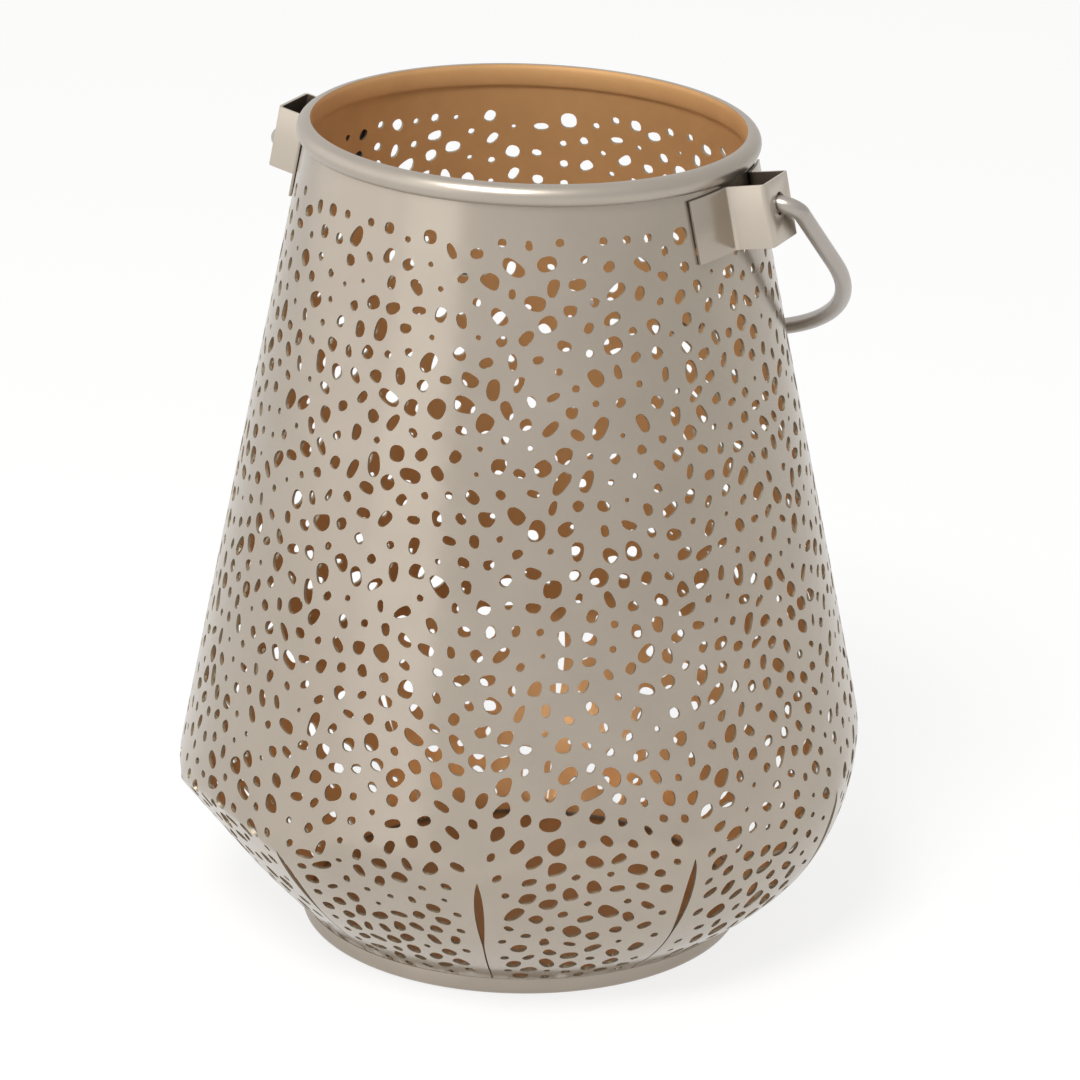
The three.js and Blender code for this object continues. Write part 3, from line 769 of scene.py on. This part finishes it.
def body_sheet():
    corners, cells = cut_flat_sheet()
    used = sorted({i for cell in cells for i in cell})
    number = {old: new for new, old in enumerate(used)}
    mesh = bpy.data.meshes.new("body_sheet")
    mesh.from_pydata([sheet_point(*corners[i]) * MM for i in used], [],
                     [[number[i] for i in cell] for cell in cells])
    piece = bpy.data.objects.new("body_sheet", mesh)
    bpy.context.scene.collection.objects.link(piece)
    coat(piece, nickel_sheet, gold_inside, cut_edge)
    tidy_up(piece)
    thicken(piece, SHEET, inner=1, rim=2)
    bpy.ops.object.shade_smooth_by_angle(angle=math.radians(SMOOTH_BELOW))
    return piece


body = body_sheet()
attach(body, "holder")
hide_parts("body_shell")
body.data.calc_loop_triangles()
print("body sheet:", len(body.data.loop_triangles), "triangles")

# %% [markdown]
# ## The rim bead
# The top edge is rolled over to a round bead, which stiffens the mouth and hides the raw edge. A torus
# would do from far off. Here a circle is turned round the axis by Spin, after its lowest corners are pushed
# up to a slot, because the sheet runs up into the real bead and a thin line of shadow shows where it does.
# Its inner side is pressed flat, because the real edge is rolled outwards. The gold spray reached it there,
# so the faces that look to the axis take the lacquer. The ring leans with the mouth.

# %% Spin the bead
BEAD_RADIUS = 2.7
BEAD_SIDES = 28
BEAD_STEPS = 180
BEAD_SMOOTH_BELOW = 50
SPIN_AXIS = (0, 0, -1)  # Spin turns clockwise about its axis, so this one gives a left turn
GOLD_UP_TO = 25         # degrees above level on the inner half
INNER_SHARE = 0.2       # of its depth stays inside the sheet, as the edge is rolled outwards
INNER_GAP = 0.08        # between the sheet and the bead on that side

bead_out = Vector((math.cos(cone_angle), 0, math.sin(cone_angle)))
bead_middle = Vector((TOP_RADIUS, 0, BODY_HEIGHT)) - bead_out * SHEET / 2


def select_where(piece, kind, wanted):
    """In edit mode, selects the corners, edges or faces for which wanted(element) is true."""
    bpy.ops.mesh.select_all(action="DESELECT")
    bpy.ops.mesh.select_mode(type={"vertices": "VERT", "edges": "EDGE", "polygons": "FACE"}[kind])
    bpy.ops.object.mode_set(mode="OBJECT")
    for element in getattr(piece.data, kind):
        element.select = bool(wanted(element))
    bpy.ops.object.mode_set(mode="EDIT")


def lean(piece):
    """Moves a piece in its place with the mouth that carries it."""
    for corner in piece.data.vertices:
        corner.co = leaned(corner.co / MM) * MM


def rim_bead():
    bpy.ops.object.select_all(action="DESELECT")
    bpy.ops.mesh.primitive_circle_add(vertices=BEAD_SIDES, radius=BEAD_RADIUS * MM,
                                      location=bead_middle * MM, rotation=(math.pi / 2, -cone_angle, 0))
    piece = bpy.context.object
    piece.name = "rim_bead_roll"
    slot_half = SHEET / 2 + CLEARANCE
    slot_top = BEAD_RADIUS + CLEARANCE
    bpy.ops.object.transform_apply()
    bpy.ops.object.mode_set(mode="EDIT")
    down = Vector((math.sin(cone_angle), 0, -math.cos(cone_angle)))

    def in_slot(corner):
        offset = corner.co / MM - bead_middle
        return abs(offset.dot(bead_out)) < slot_half and offset.dot(down) > 0

    select_where(piece, "vertices", in_slot)
    bpy.ops.transform.translate(value=-down * slot_top * MM)
    inner_wall = bead_middle - bead_out * (SHEET / 2 + INNER_GAP)
    select_where(piece, "vertices", lambda corner: (corner.co / MM - inner_wall).dot(bead_out) < 0)
    bpy.ops.transform.resize(value=(INNER_SHARE, 1, 1), center_override=inner_wall * MM)
    bpy.ops.mesh.select_all(action="SELECT")
    bpy.ops.mesh.spin(steps=BEAD_STEPS, angle=math.tau, center=(0, 0, 0), axis=SPIN_AXIS)
    bpy.ops.object.mode_set(mode="OBJECT")
    coat(piece, nickel_bead, gold_inside)
    lean(piece)
    tidy_up(piece, BEAD_SMOOTH_BELOW)
    for face in piece.data.polygons:
        inward = -face.normal.dot(Vector((face.center.x, face.center.y, 0)).normalized())
        face.material_index = int(inward > 0 and math.degrees(math.asin(face.normal.z)) < GOLD_UP_TO)
    return piece


bead = rim_bead()
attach(bead, "holder")
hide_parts("rim_bead")
print("bead, mm:", [round(x / MM, 1) for x in bead.dimensions])

# %% [markdown]
# ## The base pan
# A shallow pan closes the bottom and carries the candle. It was pressed from a disc: a flat floor, a small
# round corner and an upright lip round the foot of the body. It is modelled as it would be by hand: a low
# cylinder loses its top, its bottom edge is bevelled round, and Solidify gives it thickness. The inside
# was sprayed with the body, and its floor as far as the skirt takes a darker brown: painted shade, for the
# dark down at the bottom of the lantern.

# %% Press the pan
PAN_SIDES = 180
PAN_CORNER_STEPS = 6
LIP_ROUND = 0.25
LOOKS_UP = 0.9          # a face does if its normal rises by more than this


def soften(piece, width, segments, angle):
    """Rounds the edges where two faces meet at more than an angle."""
    edges = piece.modifiers.new("edges", "BEVEL")
    edges.width, edges.segments, edges.limit_method = width * MM, segments, "ANGLE"
    edges.angle_limit = math.radians(angle)
    bpy.ops.object.modifier_apply(modifier=edges.name)


def base_pan():
    bpy.ops.object.select_all(action="DESELECT")
    bpy.ops.mesh.primitive_cylinder_add(vertices=PAN_SIDES, radius=PAN_RADIUS * MM, depth=LIP_HEIGHT * MM,
                                        location=(0, 0, LIP_HEIGHT / 2 * MM))
    piece = bpy.context.object
    piece.name = "base_pan_pressed"
    bpy.ops.object.transform_apply()
    bpy.ops.object.mode_set(mode="EDIT")
    select_where(piece, "polygons", lambda face: face.normal.z > LOOKS_UP)
    bpy.ops.mesh.delete(type="ONLY_FACE")
    corners, half_way = piece.data.vertices, LIP_HEIGHT / 2 * MM
    select_where(piece, "edges", lambda edge: all(corners[i].co.z < half_way for i in edge.vertices))
    bpy.ops.mesh.bevel(offset=PAN_CORNER * MM, segments=PAN_CORNER_STEPS, affect="EDGES")
    bpy.ops.object.mode_set(mode="OBJECT")
    coat(piece, nickel_pan, painted_shade_pan_floor)
    tidy_up(piece)
    thicken(piece, PAN_SHEET)
    soften(piece, LIP_ROUND, segments=2, angle=60)
    bpy.ops.object.shade_smooth_by_angle(angle=math.radians(SMOOTH_BELOW))
    # Upward faces inside the skirt take that painted shade.
    for face in piece.data.polygons:
        radius = math.hypot(face.center.x, face.center.y) / MM
        face.material_index = int(face.normal.z > LOOKS_UP and radius < skirt_radius)
    return piece


pan = base_pan()
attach(pan, "holder")
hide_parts("base_pan")
print("pan, mm:", [round(x / MM, 1) for x in pan.dimensions])

# %% [markdown]
# ## The brackets
# Each bracket is a strap bent to a hat: two feet that follow the cone and are welded to it, and a box
# between them that is open above and below, with a hole for the bail. It starts as the box's outer face.
# The two sides are extruded back to the cone, and each foot is spun to the cone's curve. Bevels round the
# bends, and Solidify gives the strap its thickness. The feet have the finish of the sheet; the box takes a
# lighter copy of it, painted sheen for its bright front face, and the inner skin is painted shade. The left
# strap is a copy, half a turn round. Each then leans with the mouth, before a boolean drills its hole in
# line with the hinge.

# %% Bend and drill the brackets
STRAP_HEIGHT = 15.0
STRAP_SHEET = 0.7
STRAP_BEND = 1.2        # radius of the bends of the box
FOOT_BEND = 0.8         # radius of the bend between box and foot
BOX_DEPTH = 10.0
BOX_WIDTH = 14.5
FLANGE = 13.5           # length of a foot round the cone
WIRE = 4.0
HOLE_PLAY = 1.4         # how much wider the hole is than the wire
HOLE_SIDES = 40
STRAP_EDGE = 0.12       # rounding of the cut edges
FOOT_STEPS = 8
BEND_STEPS = 5
FOOT_BEND_STEPS = 3
SAME_PLACE = 0.01       # mm within which an edge counts as found

strap_s = BEAD_RADIUS + 2 * CLEARANCE + STRAP_HEIGHT / 2
strap_z = BODY_HEIGHT - strap_s * math.cos(cone_angle)
strap_radius = cone_radius(strap_z)
cone_reach = strap_radius / math.cos(cone_angle)


def select_edge_at(piece, y, x):
    """Selects the upright edges of the strap that stand at y and x in its own frame, in mm."""
    corners = piece.data.vertices

    def there(edge):
        ends = [corners[i].co / MM for i in edge.vertices]
        upright = abs(ends[0].z - ends[1].z) > STRAP_HEIGHT / 2
        return upright and all(max(abs(e.x - x), abs(e.y - y)) < SAME_PLACE for e in ends)

    select_where(piece, "edges", there)


def bent_strap():
    """The strap in its own frame: X out of the cone, Y round it, Z up along it."""
    bpy.ops.object.select_all(action="DESELECT")
    bpy.ops.mesh.primitive_plane_add(size=1, location=(BOX_DEPTH * MM, 0, 0), rotation=(0, math.pi / 2, 0))
    piece = bpy.context.object
    piece.scale = (STRAP_HEIGHT * MM, BOX_WIDTH * MM, 1)
    bpy.ops.object.transform_apply()
    bpy.ops.object.mode_set(mode="EDIT")
    foot_reach = cone_reach + CLEARANCE + STRAP_SHEET
    foot_x = math.sqrt(foot_reach ** 2 - (BOX_WIDTH / 2) ** 2) - cone_reach
    to_cone = ((foot_x - BOX_DEPTH) * MM, 0, 0)
    for side in (1, -1):
        select_edge_at(piece, side * BOX_WIDTH / 2, BOX_DEPTH)
        bpy.ops.mesh.extrude_region_move(TRANSFORM_OT_translate={"value": to_cone})
        bpy.ops.mesh.spin(steps=FOOT_STEPS, angle=side * FLANGE / foot_reach,
                          center=(-cone_reach * MM, 0, 0), axis=SPIN_AXIS)
    for side in (1, -1):
        select_edge_at(piece, side * BOX_WIDTH / 2, BOX_DEPTH)
        bpy.ops.mesh.bevel(offset=STRAP_BEND * MM, segments=BEND_STEPS, affect="EDGES")
        select_edge_at(piece, side * BOX_WIDTH / 2, foot_x)
        bpy.ops.mesh.bevel(offset=FOOT_BEND * MM, segments=FOOT_BEND_STEPS, affect="EDGES")
    bpy.ops.object.mode_set(mode="OBJECT")
    # The strap's inner skin, inside the box and under the feet, takes the painted shade.
    coat(piece, nickel_painted_sheen_strap, painted_shade_strap_inside, nickel_sheet, painted_shade_strap_inside)
    # The box keeps the lighter nickel, painted sheen, and the feet take the sheet's nickel.
    for face in piece.data.polygons:
        on_foot = abs(face.center.y) / MM > BOX_WIDTH / 2 + FOOT_BEND / 2
        face.material_index = 2 if on_foot else 0
    return piece


def drill(piece, side):
    """Cuts the bail's hole along the hinge line."""
    bpy.ops.object.select_all(action="DESELECT")
    bpy.ops.mesh.primitive_cylinder_add(vertices=HOLE_SIDES, radius=(WIRE + HOLE_PLAY) / 2 * MM,
                                        depth=BOX_DEPTH * MM, rotation=(0, math.pi / 2, 0),
                                        location=(side * (strap_radius + BOX_DEPTH) * MM, 0, hinge_z * MM))
    cutter = bpy.context.object
    piece.select_set(True)
    bpy.context.view_layer.objects.active = piece
    hole = piece.modifiers.new("hole", "BOOLEAN")
    hole.object, hole.operation, hole.solver = cutter, "DIFFERENCE", "EXACT"
    bpy.ops.object.modifier_apply(modifier=hole.name)
    bpy.data.objects.remove(cutter)


def strap_on_cone():
    """A strap with its thickness, in its place on the right."""
    piece = bent_strap()
    piece.name = "bracket_strap_right"
    tidy_up(piece)
    outermost = max(piece.data.polygons, key=lambda face: face.center.x)
    if outermost.normal.x < 0:
        piece.data.flip_normals()
    thicken(piece, STRAP_SHEET, inner=1)
    piece.rotation_euler = (0, -cone_angle, 0)
    piece.location = (strap_radius * MM, 0, strap_z * MM)
    bpy.ops.object.transform_apply()
    return piece


def turned_copy(right):
    """A copy with its own mesh, half a turn round the axis."""
    piece = right.copy()
    piece.data = right.data.copy()
    piece.name = "bracket_strap_left"
    bpy.context.scene.collection.objects.link(piece)
    piece.data.transform(Matrix.Rotation(math.pi, 4, "Z"))
    return piece


def finish_strap(piece, side):
    """Leans the strap with the mouth, drills it in line with the hinge and softens its edges."""
    lean(piece)
    drill(piece, side)
    soften(piece, STRAP_EDGE, segments=2, angle=50)
    tidy_up(piece)


strap_right = strap_on_cone()
strap_left = turned_copy(strap_right)
for strap, node, side in ((strap_right, "bracket_right", 1), (strap_left, "bracket_left", -1)):
    finish_strap(strap, side)
    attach(strap, "holder")
    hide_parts(node)
    print(node, "faces:", len(strap.data.polygons))

# %% [markdown]
# ## The bail
# The handle is one length of round wire: a hook through each bracket, a tight elbow, a straight arm and a
# wide corner into the bar. A bevelled curve would give the same look, but bending it with Extrude and Spin
# is what a wire bender does: feed straight, turn about a pin, feed again. The second half takes the same
# steps in reverse. The arms are as long as the swing asks, so that the bar ends just off the cone both at
# the front and at the back, where it hangs.

# %% Bend the bail
BAIL_SIDE_GAP = 1.6     # between an arm and its bracket, with the bail in the middle
BAIL_SLIP = 0.1         # how far the bail has slipped along its hinge
BAR_GAP = 0.5           # between the bar and the cone, at either end of the swing
BAIL_CORNER = 55.0      # radius of the bend between an arm and the bar
CORNER_STEPS = 24
ELBOW = 4.4             # radius of the bend at the bracket
ELBOW_STEPS = 10
HOOK = 5.0              # length of wire inside the bracket
WIRE_SIDES = 20
WIRE_END = 0.5          # rounding of the wire's ends

hinge_x = strap_radius + (BOX_DEPTH - STRAP_SHEET / 2) * math.cos(cone_angle)
face_x = hinge_x + STRAP_SHEET / 2 / math.cos(cone_angle)
arm_x = face_x + BAIL_SIDE_GAP + WIRE / 2
hook_x = face_x - STRAP_SHEET - HOOK
bar_to_cone = cone_radius(hinge_z) * math.cos(cone_angle) + WIRE / 2 + BAR_GAP
rest_angle = math.radians(swing_to - swing_from - 180) / 2
bail_arm = bar_to_cone / math.cos(rest_angle + cone_angle) - BAIL_CORNER


def bail_wire():
    """The wire in its own plane, X along the hinge and Y out to the bar, then turned to where it hangs."""
    bpy.ops.object.select_all(action="DESELECT")
    bpy.ops.mesh.primitive_circle_add(vertices=WIRE_SIDES, radius=WIRE / 2 * MM, fill_type="NGON",
                                      location=(hook_x * MM, 0, 0), rotation=(0, math.pi / 2, 0))
    piece = bpy.context.object
    piece.name = "bail_wire"
    bpy.ops.object.transform_apply()
    bpy.ops.object.mode_set(mode="EDIT")
    bpy.ops.mesh.select_all(action="SELECT")

    def feed(x, y):
        bpy.ops.mesh.extrude_region_move(TRANSFORM_OT_translate={"value": (x * MM, y * MM, 0)})

    def turn(x, y, steps):
        bpy.ops.mesh.spin(steps=steps, angle=math.pi / 2, center=(x * MM, y * MM, 0), axis=SPIN_AXIS)

    elbow_x, corner_x = arm_x - ELBOW, arm_x - BAIL_CORNER
    feed(elbow_x - hook_x, 0)
    turn(elbow_x, ELBOW, ELBOW_STEPS)
    feed(0, bail_arm - ELBOW)
    turn(corner_x, bail_arm, CORNER_STEPS)
    feed(-2 * corner_x, 0)
    turn(-corner_x, bail_arm, CORNER_STEPS)
    feed(0, ELBOW - bail_arm)
    turn(-elbow_x, ELBOW, ELBOW_STEPS)
    feed(elbow_x - hook_x, 0)
    bpy.ops.object.mode_set(mode="OBJECT")
    coat(piece, nickel_wire)
    tidy_up(piece)
    soften(piece, WIRE_END, segments=3, angle=60)
    piece.rotation_euler = (-rest_angle, 0, 0)
    piece.location = (BAIL_SLIP * MM, 0, hinge_z * MM)
    bpy.ops.object.transform_apply()
    tidy_up(piece)
    return piece


bail = bail_wire()
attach(bail, "bail")
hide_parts("bail_handle")
print("bail, mm:", [round(x / MM, 1) for x in bail.dimensions], "with arms of", round(bail_arm, 2))
